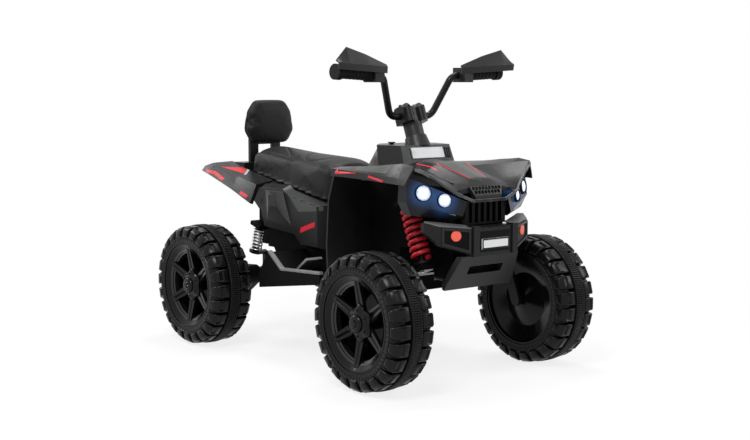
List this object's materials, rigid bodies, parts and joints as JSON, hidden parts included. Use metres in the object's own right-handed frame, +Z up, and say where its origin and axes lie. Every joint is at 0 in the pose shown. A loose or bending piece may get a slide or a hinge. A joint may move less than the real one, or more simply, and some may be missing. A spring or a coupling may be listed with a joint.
{
  "type": "children's ride-on quad bike",
  "caption": "Battery ride-on quad bike for a child: faceted moulded body, lugged wheels, steered and sprung front axle, sprung driven rear arm, padded seat and backrest.",
  "frame": {"origin": "on the ground below the middle of the wheelbase, in the vehicle's middle plane", "axes": "+Z up, -Y the way the vehicle faces, +X towards the vehicle's left side"},
  "size_m": [0.602, 0.98, 0.7323],
  "materials": {
    "body_plastic": "moulded, fine grain",
    "gloss_trim": "gloss",
    "silver_trim": "satin silver",
    "lamp_lens": "clear, domed",
    "reflector": "gloss",
    "plate": "satin, blank",
    "upholstery": "grained leatherette over foam",
    "rubber": "matt",
    "black_steel": "gloss black paint",
    "bright_steel": "bright zinc",
    "red_steel": "gloss red paint",
    "battery_case": "satin",
    "tyre_plastic": "blow moulded, satin",
    "traction_rubber": "soft, ribbed",
    "rim_plastic": "gloss"
  },
  "bodies": {
    "chassis": {"chassis_tub": "body_plastic", "hood": "body_plastic", "dash_console": "body_plastic", "front_fender_right": "body_plastic", "front_fender_left": "body_plastic", "front_fascia": "body_plastic", "side_panels": "body_plastic", "seat_base": "body_plastic", "rear_fender_right": "body_plastic", "rear_fender_left": "body_plastic", "footboard_right": "body_plastic", "footboard_left": "body_plastic", "front_bumper": "body_plastic", "bull_bar": "body_plastic", "control_box": "body_plastic", "backrest_frame": "body_plastic", "nose_grille": "gloss_trim", "headlight_housings": "gloss_trim", "dash_panel": "silver_trim", "footrest_trims": "silver_trim", "headlamp_lenses": "lamp_lens", "bumper_reflectors": "reflector", "number_plate": "plate", "seat_cushion": "upholstery", "backrest_cushion": "upholstery", "steering_boot": "rubber", "front_shock_bodies": "black_steel", "rear_springs": "bright_steel", "front_springs": "red_steel", "battery": "battery_case"},
    "steering": {"steering_column": "black_steel", "handlebar_tube": "black_steel", "handlebar_clamp": "body_plastic", "grips": "rubber", "hand_guards": "body_plastic"},
    "front_axle": {"front_axle_beam": "black_steel", "kingpins": "bright_steel", "front_shock_rods": "bright_steel"},
    "knuckle_right_body": {"knuckle_right": "black_steel"},
    "knuckle_left_body": {"knuckle_left": "black_steel"},
    "tie_rod_body": {"tie_rod": "black_steel"},
    "rear_axle": {"swing_arm": "black_steel", "rear_axle_rod": "bright_steel", "gearboxes": "body_plastic", "motors": "bright_steel"},
    "pedal": {"accelerator_pedal": "rubber"},
    "button": {"power_button": "gloss_trim"},
    "switch": {"direction_switch": "gloss_trim"},
    "wheel_front_right": {"front_right_tyre": "tyre_plastic", "front_right_traction_band": "traction_rubber", "front_right_rim": "rim_plastic"},
    "wheel_front_left": {"front_left_tyre": "tyre_plastic", "front_left_traction_band": "traction_rubber", "front_left_rim": "rim_plastic"},
    "wheel_rear_right": {"rear_right_tyre": "tyre_plastic", "rear_right_traction_band": "traction_rubber", "rear_right_rim": "rim_plastic"},
    "wheel_rear_left": {"rear_left_tyre": "tyre_plastic", "rear_left_traction_band": "traction_rubber", "rear_left_rim": "rim_plastic"}
  },
  "joints": [
    {"name": "steering_turn", "type": "hinge", "parent": "chassis", "child": "steering", "pos_m": [0, -0.34, 0.15], "axis": [0, 0.3584, 0.9336], "range_deg": [-25, 25]},
    {"name": "front_suspension", "type": "slide", "parent": "chassis", "child": "front_axle", "axis": [0, 0.3584, 0.9336], "range_m": [0, 0.012], "stiffness_N_per_m": 5000, "springref_m": -0.02, "deforming": ["front_springs"]},
    {"name": "knuckle_right_turn", "type": "hinge", "parent": "front_axle", "child": "knuckle_right_body", "pos_m": [-0.166, -0.30416, 0.24336], "axis": [0, 0.3584, 0.9336], "range_deg": [-25, 25]},
    {"name": "knuckle_left_turn", "type": "hinge", "parent": "front_axle", "child": "knuckle_left_body", "pos_m": [0.166, -0.30416, 0.24336], "axis": [0, 0.3584, 0.9336], "range_deg": [-25, 25]},
    {"name": "tie_rod_turn", "type": "hinge", "parent": "knuckle_right_body", "child": "tie_rod_body", "pos_m": [-0.166, -0.26122, 0.22687], "axis": [0, 0.3584, 0.9336], "range_deg": [-25, 25]},
    {"name": "front_right_spin", "type": "hinge", "parent": "knuckle_right_body", "child": "wheel_front_right", "pos_m": [-0.245, -0.34, 0.15], "axis": [1, 0, 0], "continuous": true},
    {"name": "front_left_spin", "type": "hinge", "parent": "knuckle_left_body", "child": "wheel_front_left", "pos_m": [0.245, -0.34, 0.15], "axis": [1, 0, 0], "continuous": true},
    {"name": "rear_suspension", "type": "hinge", "parent": "chassis", "child": "rear_axle", "pos_m": [0, 0.2, 0.158], "axis": [1, 0, 0], "range_deg": [0, 5], "stiffness_Nm_per_rad": 200, "springref_deg": -5.73, "deforming": ["rear_springs"]},
    {"name": "rear_right_spin", "type": "hinge", "parent": "rear_axle", "child": "wheel_rear_right", "pos_m": [-0.245, 0.34, 0.15], "axis": [1, 0, 0], "continuous": true},
    {"name": "rear_left_spin", "type": "hinge", "parent": "rear_axle", "child": "wheel_rear_left", "pos_m": [0.245, 0.34, 0.15], "axis": [1, 0, 0], "continuous": true},
    {"name": "pedal_press", "type": "hinge", "parent": "chassis", "child": "pedal", "pos_m": [-0.1613, 0.02608, 0.21183], "axis": [1, 0, 0], "range_deg": [0, 14], "stiffness_Nm_per_rad": 0.6, "springref_deg": -17.19},
    {"name": "power_button_press", "type": "slide", "parent": "chassis", "child": "button", "axis": [0, 0, -1], "range_m": [0, 0.0025], "stiffness_N_per_m": 400, "springref_m": -0.002},
    {"name": "direction_rock", "type": "hinge", "parent": "chassis", "child": "switch", "pos_m": [0.044, -0.16077, 0.51], "axis": [0, 1, 0], "range_deg": [-10, 10]}
  ],
  "couplings": [
    {"joint": "knuckle_right_turn", "follows": "steering_turn", "ratio": 1},
    {"joint": "knuckle_left_turn", "follows": "steering_turn", "ratio": 1},
    {"joint": "tie_rod_turn", "follows": "steering_turn", "ratio": -1}
  ]
}
